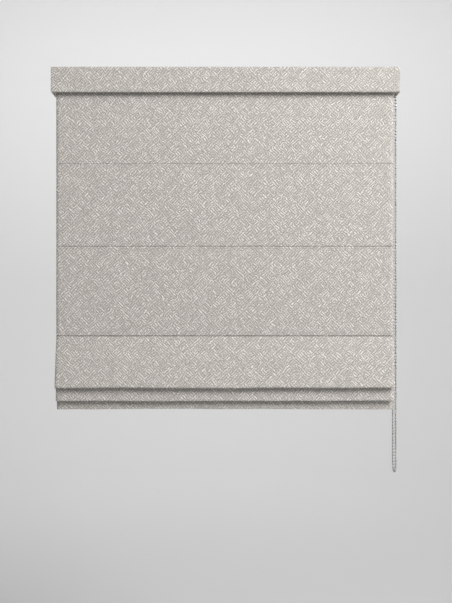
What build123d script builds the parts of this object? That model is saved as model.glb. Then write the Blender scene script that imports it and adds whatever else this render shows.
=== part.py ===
"""Roman blind with a fabric-covered pelmet and a bead-chain drive, built in millimetres.

+X is to the right, the front faces -Y and +Z is up. The origin is on the mounting plane, at the
centre of the screw holes of the two brackets. The blind is drawn part raised: three rods hang at
their full drop, and two panels are gathered in folds under the third rod.
"""

import os
from math import cos, hypot, pi, radians, sin, tan

from build123d import *

os.makedirs("parts", exist_ok=True)

# ---- Driving dimensions ----

# Pelmet: a board and two end returns under one fabric skin
pelmet_width = 674.0
pelmet_height = 49.0
pelmet_depth = 50.0
pelmet_top_gap = 1.0  # from the mounting plane down to the pelmet
board_thickness = 3.0
return_thickness = 1.8
return_flange = 14.0  # length of each return's flange behind the board
pelmet_cloth = 0.7
turn_in = 10.0  # fabric turned in behind the board
pelmet_clearance = 10.1  # from the pelmet's front back to the curtain's face
pelmet_corner = 0.6

# Curtain: face fabric and lining
side_gap_left = 9.0  # from the pelmet's outer end to the fabric's edge
side_gap_chain = 11.5
face_thickness = 0.7
lining_thickness = 0.4
sewing_gap = 0.1
lining_inset = 12.0  # lining stops this far inside the fabric's edges
curtain_top = -6.5
rod_drops = (187.0, 347.0, 521.0)  # hanging rods, below the mounting plane
gather_steps = (28.0, 24.0)  # from the third rod down to the fourth, and on to the fifth
folded_panel = 172.0  # fabric between two gathered rods
skirt = 90.6  # from the fifth rod to the bottom edge
fold_reach = (18.1, 6.1)  # how far the two fold edges stand out in front of the hanging fabric
fold_radii = (2.5, 2.0)
fold_widths = (6.4, 5.0)
hairpin_width = 2.1
hairpin_radius = 0.8
layer_step = 2.5  # between layers of cloth where one fold passes over the next
hem_radius = 1.2
hem_ease = 1.6  # the hem's front stands this far clear of the bar
hem_lead = 4.0  # the cloth hangs straight from this far above the hem
lining_tuck = 3.5  # the lining ends this far above the bar
hairpin_lean = 40.0  # the hairpins lie this far below the line behind their rods
bulge_rise = 2.0
curtain_bend = 20.0  # radius of the gentle bends
stitch_overlap = 0.17
rod_diameter = 4.0
rod_end_margin = 3.0  # from the rod's tip to the lining's edge
pocket_wall = 0.4
pocket_play = 0.2
tip_length = 9.0
tip_wall = 0.15
ring_tube = 0.9
ring_radius = 3.4
ring_seat = 0.2
lock_radius = 3.2
lock_height = 7.0
lock_taper = 8.0

# Bottom bar
bar_height = 22.0
bar_thickness = 3.0
bar_play = 0.3
bar_margin = 8.0  # from the bar's end cap to the fabric's edge
bar_cap_length = 6.0
hem_height = 27.0

# Headrail
rail_depth = 27.0
rail_height = 28.0
rail_top = -5.0
rail_wall = 1.3
rail_lip = 5.0
rail_end_gap_left = 6.5  # from the pelmet's outer end to the rail
rail_end_gap_chain = 13.4
slot_margin = 2.0  # cord slot past each end of the drum
slot_width = 5.0
tape_height = 20.0
tape_thickness = 1.1
tape_inset = 4.0

# Drive
axis_height = -20.0
drum_radius = 5.3
drum_length = 31.0
flange_radius = 9.3
flange_thickness = 1.6
journal_radius = 4.9
journal_length = 5.0
shaft_size = 6.0
socket_play = 0.05
bearing_play = 0.1
cradle_wall = 2.0
cradle_side = 1.2
cradle_play = 0.3
cord_diameter = 1.4
cord_play = 0.3
cord_turns = 7
cord_insets = 70.0  # from the fabric's edges to the outer cords

# Clutch housing, brake and adapter
cap_flange = 2.0
cap_corner = 1.5
plug_length = 12.0
plug_wall = 1.6
plug_play = 0.1
bearing_wall = 2.0
barrel_bore = 9.0
barrel_wall = 2.0
barrel_length = 26.0
barrel_floor = 2.0
hub_radius = 8.0
adapter_radius = 6.0
adapter_reach = 10.0  # how far the adapter stands out of the barrel
adapter_web = 3.0
guard_thickness = 1.2
guard_half_angle = 55.0
finger_play = 1.4
finger_angle = 150.0
finger_wall = 3.2
finger_gap = 5.0  # between the barrel's floor and the wheel's finger
spring_play = 0.06
spring_wall = 1.0
spring_end_gap = 1.5
tang_length = 2.6
tang_width = 1.0
tang_thickness = 1.2

# Chain
bead_diameter = 4.5
chain_pitch = 6.0
chain_pockets = 14
chain_drop = 789.0
chain_return_gap = 3.8  # from the chain's middle to the pelmet return
chain_play = 0.3
wheel_half_width = 3.3
housing_plate = 3.2
wheel_rim = 1.0  # the rim stands this far outside the beads' middles
pocket_extra = 0.2
connector_length = 11.0
connector_wall = 0.35
connector_drop = 24.0  # from the wheel's axis down to the connector's middle
wrap_turn = 45.0  # turn at each of the chain's drawn corners

# Mounting brackets
bracket_spacing = 380.0
bracket_length = 34.0
bracket_depth = (17.0, 20.0)  # in front of and behind the screw line's centre
bracket_thickness = 1.5
bracket_corner = 3.0
screw_spacing = 24.0
screw_hole = 4.5
latch_offset = 9.0  # from the screw holes across to the latch's rivet
latch_disc = 6.5
latch_neck = 6.0
lever_width = 8.0
lever_length = 22.0  # from the rivet to the lever's end
lever_corner = 2.5
cam_thickness = 2.0
cam_width = 9.0
cam_overhang = 2.5  # how far the cam reaches under each lip
rivet_radius = 2.0
rivet_flange = 1.4
rivet_sink = 0.9
rivet_head = 1.2
running_fit = 0.08
rivet_seat = 0.02
rivet_flush = 0.05  # the rivet's end lies this far under the mounting plane
latch_gap = 0.2
lever_clearance = 0.4
gap = 0.3  # between pieces that move past each other

# Pelmet clips
clip_width = 14.0
clip_thickness = 1.2
clip_leg = 14.0  # from the rail's top down the back of the board
clip_return = 2.6
clip_play = 0.2
clip_hole = 1.5
clip_screw_radius = 1.3
clip_screw_head = 2.8
clip_head_height = 1.4
clip_positions = (-285.0, -95.0, 95.0, 285.0)

# ---- Places worked out from the dimensions ----

half_width = pelmet_width / 2
pelmet_top = -pelmet_top_gap
pelmet_bottom = pelmet_top - pelmet_height
return_inner = half_width - pelmet_cloth - return_thickness

rail_front = -rail_depth / 2
rail_bottom = rail_top - rail_height
rail_left = -half_width + rail_end_gap_left
rail_right = half_width - rail_end_gap_chain
rail_inside = rail_depth / 2 - rail_wall

fabric_left = -half_width + side_gap_left
fabric_right = half_width - side_gap_chain
lining_left = fabric_left + lining_inset
lining_right = fabric_right - lining_inset
lining_front = rail_front - 2 * tape_thickness - lining_thickness
face_middle = lining_front - sewing_gap - face_thickness / 2
face_front = face_middle - face_thickness / 2
lining_near = face_thickness / 2 + sewing_gap
lining_far = lining_near + lining_thickness

pocket_radius = rod_diameter / 2 + pocket_play
pocket_outer = pocket_radius + pocket_wall
rod_line = lining_front + sewing_gap + pocket_outer
ring_outer = ring_radius + ring_tube
cord_line = rod_line + pocket_outer + ring_seat + ring_outer
winding_radius = drum_radius + cord_play + cord_diameter / 2
drive_line = cord_line + winding_radius

rod_heights = [-drop for drop in rod_drops]
for step in gather_steps:
    rod_heights.append(rod_heights[-1] - step)
fold_heights = [(rod_heights[i] + rod_heights[i + 1] - folded_panel) / 2 for i in (2, 3)]
hem_bottom = rod_heights[-1] - skirt
fabric_middle = (fabric_left + fabric_right) / 2
cord_places = (fabric_left + cord_insets, fabric_middle, fabric_right - cord_insets)

chain_place = return_inner - chain_return_gap
pitch_radius = chain_pitch / (2 * sin(pi / chain_pockets))
plate_face = rail_right + housing_plate
pelmet_front = face_front - pelmet_clearance
board_front = pelmet_front + pelmet_cloth
board_back = board_front + board_thickness
pelmet_back = pelmet_front + pelmet_depth
print(f"fabric front {face_front:.2f}, cord line {cord_line:.2f}, drive line {drive_line:.2f}")
print(f"folds at {fold_heights}, hem at {hem_bottom:.1f}, chain at x {chain_place:.2f}")


def parallel(path, distance):
    """The points and radii of the line that runs beside a filleted path, distance to its left."""
    places = [(y, z) for y, z, _ in path]
    steps = [(q[0] - p[0], q[1] - p[1]) for p, q in zip(places, places[1:])]
    steps = [(y / hypot(y, z), z / hypot(y, z)) for y, z in steps]
    first, last = steps[0], steps[-1]
    moved = [(places[0][0] - first[1] * distance, places[0][1] + first[0] * distance)]
    radii = []
    for (ay, az), (by, bz), (y, z, radius) in zip(steps, steps[1:], path[1:]):
        shift = distance / (1 + ay * by + az * bz)
        moved.append((y - (az + bz) * shift, z + (ay + by) * shift))
        turns_left = ay * bz - az * by > 0
        radii.append(radius - distance if turns_left else radius + distance)
    moved.append((places[-1][0] - last[1] * distance, places[-1][1] + last[0] * distance))
    return moved, radii


def band(path, near, far):
    """Adds to the open sketch the strip between two distances to the left of a path."""
    with BuildLine() as outline:
        one, one_radii = parallel(path, near)
        other, other_radii = parallel(path, far)
        FilletPolyline(*one, radius=one_radii)
        FilletPolyline(*other, radius=other_radii)
        Line(one[0], other[0])
        Line(one[-1], other[-1])
    make_face(outline.edges())


def save(name, part):
    part.label = name
    export_step(part, f"parts/{name}.step")


# ---- Headrail: an extruded channel, open at the top between two lips ----

slot_length = drum_length + 2 * slot_margin
with BuildPart() as headrail:
    with BuildSketch(Plane.YZ.offset(rail_left)):
        with Locations((0, rail_top - rail_height / 2)):
            Rectangle(rail_depth, rail_height)
            Rectangle(rail_depth - 2 * rail_wall, rail_height - 2 * rail_wall, mode=Mode.SUBTRACT)
        with Locations((0, rail_top - rail_wall / 2)):
            Rectangle(rail_depth - 2 * rail_lip, rail_wall, mode=Mode.SUBTRACT)
    extrude(amount=rail_right - rail_left)
    with BuildSketch(Plane.XY.offset(rail_bottom)):
        with Locations([(place, cord_line) for place in cord_places]):
            SlotOverall(slot_length, slot_width)
    extrude(amount=rail_wall, mode=Mode.SUBTRACT)
headrail.part.label = "headrail"
export_step(headrail.part, "parts/headrail.step")

# ---- Left end cap: a push-in plug that carries the end of the drive shaft ----

plug_depth = rail_depth - 2 * rail_wall - 2 * plug_play
plug_height = rail_height - 2 * rail_wall - 2 * plug_play
rail_middle = rail_top - rail_height / 2
with BuildPart() as end_cap_left:
    with BuildSketch(Plane.YZ.offset(rail_left)):
        with Locations((0, rail_middle)):
            RectangleRounded(rail_depth, rail_height, cap_corner)
    extrude(amount=-cap_flange)
    with BuildSketch(Plane.YZ.offset(rail_left)):
        with Locations((0, rail_middle)):
            Rectangle(plug_depth, plug_height)
            Rectangle(plug_depth - 2 * plug_wall, plug_height - 2 * plug_wall, mode=Mode.SUBTRACT)
        with Locations((drive_line, axis_height)):
            Circle(journal_radius + bearing_play + bearing_wall)
    extrude(amount=plug_length)
    with BuildSketch(Plane.YZ.offset(rail_left)):
        with Locations((drive_line, axis_height)):
            Circle(journal_radius + bearing_play)
    extrude(amount=plug_length, mode=Mode.SUBTRACT)
end_cap_left.part.label = "end_cap_left"
export_step(end_cap_left.part, "parts/end_cap_left.step")

# ---- Clutch housing: plate, push-in plug, brake barrel and the guard over the chain wheel ----

plug_end = rail_right - plug_length
barrel_end = rail_right - barrel_length
guard_radius = pitch_radius + bead_diameter / 2 + chain_play + gap
with BuildPart() as clutch_housing:
    with BuildSketch(Plane.YZ.offset(rail_right)):
        with Locations((0, rail_middle)):
            RectangleRounded(rail_depth, rail_height, cap_corner)
        with Locations((drive_line, axis_height)):
            Circle(barrel_bore + barrel_wall)
    extrude(amount=housing_plate)
    with BuildSketch(Plane.YZ.offset(plug_end)):
        with Locations((0, rail_middle)):
            Rectangle(plug_depth, plug_height)
    extrude(amount=plug_length)
    with BuildSketch(Plane.YZ.offset(barrel_end)):
        with Locations((drive_line, axis_height)):
            Circle(barrel_bore + barrel_wall)
    extrude(amount=barrel_length)
    guard_out = guard_radius + guard_thickness
    with BuildSketch(Plane.YZ.offset(rail_right)) as guard:
        with Locations((drive_line, axis_height)):
            Circle(guard_out)
        with BuildLine():
            side = 2 * guard_out
            turned = radians(guard_half_angle)
            left = (drive_line - side * sin(turned), axis_height + side * cos(turned))
            right = (drive_line + side * sin(turned), axis_height + side * cos(turned))
            Polyline((drive_line, axis_height), left, right, close=True)
        make_face(mode=Mode.INTERSECT)
    extrude(amount=housing_plate + 2 * wheel_half_width + 0.4)
    with BuildSketch(Plane.YZ.offset(plate_face)):
        with Locations((drive_line, axis_height)):
            Circle(guard_radius)
    extrude(amount=2 * wheel_half_width + 1, mode=Mode.SUBTRACT)
    with BuildSketch(Plane.YZ.offset(barrel_end + barrel_floor)):
        with Locations((drive_line, axis_height)):
            Circle(barrel_bore)
    extrude(amount=rail_right - barrel_end - barrel_floor, mode=Mode.SUBTRACT)
    with BuildSketch(Plane.YZ.offset(barrel_end)):
        with Locations((drive_line, axis_height)):
            Circle(adapter_radius + bearing_play)
    extrude(amount=barrel_floor, mode=Mode.SUBTRACT)
    with BuildSketch(Plane.YZ.offset(rail_right)):
        with Locations((drive_line, axis_height)):
            Circle(hub_radius + bearing_play)
    extrude(amount=housing_plate, mode=Mode.SUBTRACT)
clutch_housing.part.label = "clutch_housing"
export_step(clutch_housing.part, "parts/clutch_housing.step")

# ---- Chain wheel: concave rim with a pocket for each bead, hub and driving finger ----

groove_radius = bead_diameter / 2 + chain_play
wheel_radius = pitch_radius + wheel_rim
finger_radius = barrel_bore - finger_play
finger_end = barrel_end + barrel_floor + finger_gap
drive_plane = Plane((0, drive_line, axis_height), x_dir=(0, 1, 0), z_dir=(1, 0, 0))


def finger_section(side):
    """Adds a driving finger's section to the open sketch: part of a ring, above or below the axis."""
    half_angle = 90 - finger_angle / 2
    with BuildLine() as outline:
        inner = finger_radius - finger_wall
        start = 180 + half_angle if side < 0 else half_angle
        CenterArc((0, 0), finger_radius, start, finger_angle)
        CenterArc((0, 0), inner, start, finger_angle)
        for angle in (radians(start), radians(start + finger_angle)):
            Line((inner * cos(angle), inner * sin(angle)),
                 (finger_radius * cos(angle), finger_radius * sin(angle)))
    make_face(outline.edges())


wheel_face = chain_place - wheel_half_width
wheel_plane = Plane((0, drive_line, axis_height), x_dir=(1, 0, 0), z_dir=(0, -1, 0))
with BuildPart() as chain_wheel:
    with BuildSketch(wheel_plane):
        with BuildLine():
            Polyline(
                (rail_right - gap, 0), (rail_right - gap, hub_radius), (wheel_face, hub_radius),
                (wheel_face, wheel_radius), (wheel_face + 2 * wheel_half_width, wheel_radius),
                (wheel_face + 2 * wheel_half_width, 0), close=True,
            )
        make_face()
        with Locations((chain_place, pitch_radius)):
            Circle(groove_radius, mode=Mode.SUBTRACT)
    revolve(axis=Axis((chain_place, drive_line, axis_height), (1, 0, 0)))
    with BuildSketch(drive_plane.offset(chain_place - groove_radius - pocket_extra)):
        with PolarLocations(pitch_radius, chain_pockets):
            Circle(groove_radius + pocket_extra)
    extrude(amount=2 * (groove_radius + pocket_extra), mode=Mode.SUBTRACT)
    with BuildSketch(drive_plane.offset(finger_end)):
        finger_section(1)
    extrude(amount=rail_right - gap - finger_end)
chain_wheel.part.label = "chain_wheel"
export_step(chain_wheel.part, "parts/chain_wheel.step")

# ---- Brake spring: a close-wound wrap spring with two tangs, turning inside the barrel ----

spring_outer = barrel_bore - spring_play
with BuildPart() as brake_spring:
    with BuildSketch(drive_plane.offset(finger_end)):
        Circle(spring_outer)
        Circle(spring_outer - spring_wall, mode=Mode.SUBTRACT)
    extrude(amount=rail_right - finger_end - spring_end_gap)
    tang_place = spring_outer - spring_wall - 1
    with BuildSketch(drive_plane.offset(finger_end)):
        with Locations((-tang_place, 0), (tang_place, 0)):
            Rectangle(tang_length, tang_width)
    extrude(amount=tang_thickness)
brake_spring.part.label = "brake_spring"
export_step(brake_spring.part, "parts/brake_spring.step")

# ---- Shaft adapter: takes the turn from the brake to the square shaft ----

adapter_start = barrel_end - adapter_reach
with BuildPart() as shaft_adapter:
    with BuildSketch(drive_plane.offset(adapter_start)):
        Circle(adapter_radius)
    extrude(amount=barrel_end + barrel_floor + gap - adapter_start)
    with BuildSketch(drive_plane.offset(barrel_end + barrel_floor + gap)):
        Circle(finger_radius)
    extrude(amount=adapter_web)
    with BuildSketch(drive_plane.offset(barrel_end + barrel_floor + adapter_web + gap)):
        finger_section(-1)
    extrude(amount=rail_right - barrel_end - barrel_floor - adapter_web - 2 * gap - spring_end_gap)
    with BuildSketch(drive_plane.offset(adapter_start)):
        Rectangle(shaft_size + 2 * socket_play, shaft_size + 2 * socket_play)
    extrude(amount=barrel_end + barrel_floor - adapter_start, mode=Mode.SUBTRACT)
shaft_adapter.part.label = "shaft_adapter"
export_step(shaft_adapter.part, "parts/shaft_adapter.step")

# ---- Drive shaft, and the round bush that runs in the left end cap ----

shaft_start = rail_left + 1
with BuildPart() as drive_shaft:
    with BuildSketch(drive_plane.offset(shaft_start)):
        Rectangle(shaft_size, shaft_size)
    extrude(amount=barrel_end + barrel_floor - shaft_start - gap)
drive_shaft.part.label = "drive_shaft"
export_step(drive_shaft.part, "parts/drive_shaft.step")

with BuildPart() as shaft_bush:
    with BuildSketch(drive_plane.offset(rail_left + gap)):
        Circle(journal_radius)
    extrude(amount=plug_length)
    with BuildSketch(drive_plane.offset(rail_left + plug_length + gap)):
        Circle(journal_radius + 2)
    extrude(amount=2.5)
    with BuildSketch(drive_plane.offset(rail_left)):
        Rectangle(shaft_size + 2 * socket_play, shaft_size + 2 * socket_play)
    extrude(amount=plug_length + 4, mode=Mode.SUBTRACT)
shaft_bush.part.label = "shaft_bush"
export_step(shaft_bush.part, "parts/shaft_bush.step")

# ---- Cord spools, their cradles and the lift cords ----

cradle_half = drum_length / 2 + flange_thickness + gap + cradle_wall
cradle_depth = 2 * (rail_inside - cradle_play)
cradle_floor = rail_bottom + rail_wall
cradle_top = axis_height + journal_radius + 4
cord_bottom = rod_heights[-1] - 6
for number, place in enumerate(cord_places, 1):
    with BuildPart() as cord_cradle:
        with BuildSketch(Plane.YZ.offset(place - cradle_half)):
            with Locations((0, (cradle_floor + cradle_top) / 2)):
                Rectangle(cradle_depth, cradle_top - cradle_floor)
        extrude(amount=2 * cradle_half)
        inside = cradle_half - cradle_wall
        with BuildSketch(Plane.YZ.offset(place - inside)):
            with Locations((0, (cradle_floor + cradle_side + cradle_top) / 2)):
                Rectangle(cradle_depth - 2 * cradle_side, cradle_top - cradle_floor - cradle_side)
        extrude(amount=2 * inside, mode=Mode.SUBTRACT)
        with BuildSketch(Plane.YZ.offset(place - cradle_half)):
            with Locations((drive_line, axis_height)):
                Circle(journal_radius + bearing_play)
            with Locations((drive_line, axis_height + 10)):
                Rectangle(2 * journal_radius - 0.6, 20)
        extrude(amount=2 * cradle_half, mode=Mode.SUBTRACT)
        with BuildSketch(Plane.XY.offset(cradle_floor)):
            with Locations((place, cord_line)):
                SlotOverall(drum_length, 3.4)
        extrude(amount=cradle_side, mode=Mode.SUBTRACT)
    save(f"cord_cradle_{number}", cord_cradle.part)

    with BuildPart() as cord_spool:
        with BuildSketch(drive_plane.offset(place - drum_length / 2)):
            Circle(drum_radius)
        extrude(amount=drum_length)
        for end in (-1, 1):
            with BuildSketch(drive_plane.offset(place + end * drum_length / 2)):
                Circle(flange_radius)
            extrude(amount=end * flange_thickness)
            with BuildSketch(drive_plane.offset(place + end * (drum_length / 2 + flange_thickness))):
                Circle(journal_radius)
            extrude(amount=end * journal_length)
        with BuildSketch(drive_plane.offset(place - cradle_half - journal_length)):
            Rectangle(shaft_size + 2 * socket_play, shaft_size + 2 * socket_play)
        extrude(amount=2 * (cradle_half + journal_length), mode=Mode.SUBTRACT)
    save(f"cord_spool_{number}", cord_spool.part)

    with BuildPart() as lift_cord:
        with BuildSketch(Plane.XY.offset(cord_bottom)):
            with Locations((place, cord_line)):
                Circle(cord_diameter / 2 - 0.05)
        extrude(amount=axis_height - cord_bottom)
        with BuildSketch(drive_plane.offset(place - cord_diameter / 2)):
            Circle(winding_radius + cord_diameter / 2)
            Circle(drum_radius + cord_play, mode=Mode.SUBTRACT)
        extrude(amount=cord_turns * cord_diameter)
    save(f"lift_cord_{number}", lift_cord.part)

# ---- Rods, rod tips and cord rings ----

rod_left = lining_left + rod_end_margin
rod_right = lining_right - rod_end_margin
for number, height in enumerate(rod_heights, 1):
    rod_plane = Plane((0, rod_line, height), x_dir=(0, 1, 0), z_dir=(1, 0, 0))
    with BuildPart() as batten_rod:
        with BuildSketch(rod_plane.offset(rod_left)):
            Circle(rod_diameter / 2 - tip_wall)
        extrude(amount=rod_right - rod_left)
    save(f"batten_rod_{number}", batten_rod.part)

    with BuildPart() as rod_tips:
        for end, inward in ((rod_left, 1), (rod_right, -1)):
            with BuildSketch(rod_plane.offset(end - inward * 2)):
                Circle(rod_diameter / 2)
            extrude(amount=inward * tip_length)
            with BuildSketch(rod_plane.offset(end)):
                Circle(rod_diameter / 2 - tip_wall)
            extrude(amount=inward * tip_length, mode=Mode.SUBTRACT)
    save(f"rod_tips_{number}", rod_tips.part)

    with BuildPart() as cord_rings:
        with Locations([(place, cord_line, height) for place in cord_places]):
            Torus(ring_radius, ring_tube)
    save(f"cord_rings_{number}", cord_rings.part)

# ---- Cord locks: a bead on the end of each cord, under the lowest ring ----

lock_top = rod_heights[-1] - ring_tube - gap
with BuildPart() as cord_locks:
    with BuildSketch(Plane.XY.offset(lock_top)):
        with Locations([(place, cord_line) for place in cord_places]):
            Circle(lock_radius)
    extrude(amount=-lock_height, taper=lock_taper)
    with BuildSketch(Plane.XY.offset(lock_top)):
        with Locations([(place, cord_line) for place in cord_places]):
            Circle(cord_diameter / 2 + 0.1)
    extrude(amount=-lock_height, mode=Mode.SUBTRACT)
cord_locks.part.label = "cord_locks"
export_step(cord_locks.part, "parts/cord_locks.step")

# ---- Face fabric and lining: two sheets along one path ----

hairpins = []
for height in rod_heights[3:]:
    reach = pocket_outer + hairpin_radius + lining_far - stitch_overlap
    centre = (rod_line - reach * cos(radians(hairpin_lean)), height - reach * sin(radians(hairpin_lean)))
    hairpins.append((centre[0] + hairpin_radius, centre[1] + hairpin_radius))

hem_front = cord_line - bar_thickness / 2 - bar_play - lining_thickness - sewing_gap - face_thickness / 2
hem_front -= hem_ease
hem_width = face_thickness + bar_thickness + 2 * bar_play + lining_thickness + sewing_gap
hem_edge = hem_bottom + face_thickness / 2
hem_straight = hem_bottom + hem_height + hem_lead
fold_edges = [height + face_thickness / 2 for height in fold_heights]
fold_fronts = [face_middle - reach for reach in fold_reach]
over_hairpin = hairpins[1][0] - hairpin_width - layer_step
bulge_height = hairpins[1][1] + bulge_rise
# Each point is y, z and the radius of the bend there
curtain_path = [
    (face_middle, curtain_top, 0),
    (face_middle, rod_heights[2], curtain_bend),
    (fold_fronts[0], fold_edges[0], fold_radii[0]),
    (fold_fronts[0] + fold_widths[0], fold_edges[0], fold_radii[0]),
    (over_hairpin - layer_step, bulge_height, curtain_bend),
    (hairpins[0][0] - hairpin_width, hairpins[0][1], hairpin_radius),
    (*hairpins[0], hairpin_radius),
    (over_hairpin, bulge_height, curtain_bend),
    (fold_fronts[1], fold_edges[1], fold_radii[1]),
    (fold_fronts[1] + fold_widths[1], fold_edges[1], fold_radii[1]),
    (hairpins[1][0] - hairpin_width, hairpins[1][1], hairpin_radius),
    (*hairpins[1], hairpin_radius),
    (hem_front, hem_straight, curtain_bend),
    (hem_front, hem_edge, hem_radius),
    (hem_front + hem_width, hem_edge, hem_radius),
    (hem_front + hem_width, hem_bottom + hem_height, 0),
]
with BuildPart() as face_fabric:
    with BuildSketch(Plane.YZ.offset(fabric_left)):
        band(curtain_path, -face_thickness / 2, face_thickness / 2)
    extrude(amount=fabric_right - fabric_left)
face_fabric.part.label = "face_fabric"
export_step(face_fabric.part, "parts/face_fabric.step")

lining_end = hem_bottom + bar_height + lining_tuck
lining_path = curtain_path[:13] + [(hem_front, lining_end, 0)]
with BuildPart() as lining:
    with BuildSketch(Plane.YZ.offset(lining_left)):
        band(lining_path, lining_near, lining_far)
        with Locations([(rod_line, height) for height in rod_heights]):
            Circle(pocket_outer)
            Circle(pocket_radius, mode=Mode.SUBTRACT)
    extrude(amount=lining_right - lining_left)
lining.part.label = "lining"
export_step(lining.part, "parts/lining.step")

# ---- Hook tape on the headrail, and the loop tape sewn to the curtain ----

tape_top = curtain_top - 0.5
tape_right = min(fabric_right, rail_right) - tape_inset
for name, front in (("hook_tape", rail_front), ("loop_tape", rail_front - tape_thickness)):
    with BuildPart() as tape:
        with BuildSketch(Plane.XY.offset(tape_top)):
            with Locations(((lining_left + tape_right) / 2, front - tape_thickness / 2)):
                Rectangle(tape_right - lining_left, tape_thickness)
        extrude(amount=-tape_height)
    save(name, tape.part)

# ---- Bottom bar and its end caps, inside the hem ----

bar_line = hem_front + face_thickness / 2 + sewing_gap + lining_thickness + bar_play + bar_thickness / 2
bar_low = hem_bottom + face_thickness + bar_play
bar_left = fabric_left + bar_margin
bar_right = fabric_right - bar_margin
bar_plane = Plane((0, bar_line, bar_low + bar_height / 2), x_dir=(0, 1, 0), z_dir=(1, 0, 0))
with BuildPart() as bottom_bar:
    with BuildSketch(bar_plane.offset(bar_left + bar_cap_length)):
        RectangleRounded(bar_thickness, bar_height, bar_thickness * 0.4)
    extrude(amount=bar_right - bar_left - 2 * bar_cap_length)
bottom_bar.part.label = "bottom_bar"
export_step(bottom_bar.part, "parts/bottom_bar.step")

for name, end, inward in (("bar_cap_left", bar_left, 1), ("bar_cap_right", bar_right, -1)):
    with BuildPart() as bar_cap:
        with BuildSketch(bar_plane.offset(end)):
            RectangleRounded(bar_thickness, bar_height, bar_thickness * 0.4)
        extrude(amount=inward * bar_cap_length)
        fillet(bar_cap.faces().sort_by(Axis.X)[0 if inward > 0 else -1].edges(), 0.8)
    save(name, bar_cap.part)

# ---- Pelmet: board, end returns and the fabric skin that wraps them ----

board_half = half_width - pelmet_cloth
board_top = pelmet_top - pelmet_cloth
board_height = pelmet_height - 2 * pelmet_cloth
return_back = pelmet_back - pelmet_cloth
with BuildPart() as pelmet_board:
    with BuildSketch(Plane.XY.offset(board_top)):
        with Locations((0, (board_front + board_back) / 2)):
            Rectangle(2 * board_half, board_thickness)
    extrude(amount=-board_height)
pelmet_board.part.label = "pelmet_board"
export_step(pelmet_board.part, "parts/pelmet_board.step")

for name, end in (("pelmet_return_left", -1), ("pelmet_return_right", 1)):
    with BuildPart() as pelmet_return:
        with BuildSketch(Plane.XY.offset(board_top)):
            with BuildLine():
                outer = end * board_half
                inner = end * (board_half - return_thickness)
                toe = end * (board_half - return_flange)
                Polyline((outer, board_back), (outer, return_back), (inner, return_back),
                         (inner, board_back + return_thickness), (toe, board_back + return_thickness),
                         (toe, board_back), close=True)
            make_face()
        extrude(amount=-board_height)
    save(name, pelmet_return.part)

with BuildPart() as pelmet_fabric:
    with BuildSketch(Plane.XY.offset(pelmet_top)):
        with Locations((0, (pelmet_front + pelmet_back) / 2)):
            Rectangle(pelmet_width, pelmet_depth)
    extrude(amount=-pelmet_height)
    fillet(pelmet_fabric.edges().filter_by(Axis.Z).group_by(Axis.Y)[0], pelmet_corner)
    with BuildSketch(Plane.XY.offset(pelmet_top)):
        with Locations((0, (board_back + pelmet_cloth + pelmet_back) / 2)):
            Rectangle(2 * return_inner, pelmet_back - board_back - pelmet_cloth)
    extrude(amount=-pelmet_height, mode=Mode.SUBTRACT)
    with BuildSketch(Plane.XY.offset(board_top)):
        with Locations((0, (board_front + board_back) / 2)):
            Rectangle(2 * board_half, board_thickness)
        with Locations((0, (board_back + return_back) / 2)):
            Rectangle(2 * board_half, return_back - board_back)
            Rectangle(2 * return_inner, return_back - board_back, mode=Mode.SUBTRACT)
    extrude(amount=-board_height, mode=Mode.SUBTRACT)
    with BuildSketch(Plane.XY.offset(board_top)):
        with Locations((0, board_back + pelmet_cloth / 2)):
            for end in (-1, 1):
                with Locations((end * (board_half - return_flange / 2), 0)):
                    Rectangle(return_flange, pelmet_cloth)
    extrude(amount=-board_height, mode=Mode.SUBTRACT)
    with BuildSketch(Plane.XY.offset(board_top - turn_in)):
        with Locations((0, board_back + pelmet_cloth / 2)):
            Rectangle(2 * return_inner, pelmet_cloth)
    extrude(amount=-(board_height - 2 * turn_in), mode=Mode.SUBTRACT)
pelmet_fabric.part.label = "pelmet_fabric"
export_step(pelmet_fabric.part, "parts/pelmet_fabric.step")

# ---- Pelmet clips over the headrail's front lip, and the screws that hold the board to them ----

leg_front = board_back + pelmet_cloth
leg_back = leg_front + clip_thickness
leg_bottom = rail_top - clip_leg
lip_edge = rail_front + rail_lip
clip_screw_height = board_top - turn_in - 4
with BuildPart() as pelmet_clips:
    for place in clip_positions:
        with BuildSketch(Plane.YZ.offset(place - clip_width / 2)):
            with BuildLine():
                under = rail_top - rail_wall - clip_play
                Polyline(
                    (leg_front, leg_bottom), (leg_front, rail_top + clip_thickness),
                    (lip_edge + clip_play + clip_thickness, rail_top + clip_thickness),
                    (lip_edge + clip_play + clip_thickness, under - clip_thickness),
                    (lip_edge - clip_return, under - clip_thickness), (lip_edge - clip_return, under),
                    (lip_edge + clip_play, under), (lip_edge + clip_play, rail_top), (leg_back, rail_top),
                    (leg_back, leg_bottom), close=True,
                )
            make_face()
        extrude(amount=clip_width)
    with BuildSketch(Plane.XZ.offset(-leg_front)):
        with Locations([(place, clip_screw_height) for place in clip_positions]):
            Circle(clip_hole)
    extrude(amount=-clip_thickness, mode=Mode.SUBTRACT)
pelmet_clips.part.label = "pelmet_clips"
export_step(pelmet_clips.part, "parts/pelmet_clips.step")

with BuildPart() as clip_screws:
    with BuildSketch(Plane.XZ.offset(-leg_back)):
        with Locations([(place, clip_screw_height) for place in clip_positions]):
            Circle(clip_screw_head)
    extrude(amount=-clip_head_height)
    with BuildSketch(Plane.XZ.offset(-leg_back)):
        with Locations([(place, clip_screw_height) for place in clip_positions]):
            Circle(clip_screw_radius)
    extrude(amount=leg_back - board_back)
clip_screws.part.label = "clip_screws"
export_step(clip_screws.part, "parts/clip_screws.step")

# ---- Mounting brackets: a plate with two screw holes, a swivel latch and its rivet ----

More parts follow.
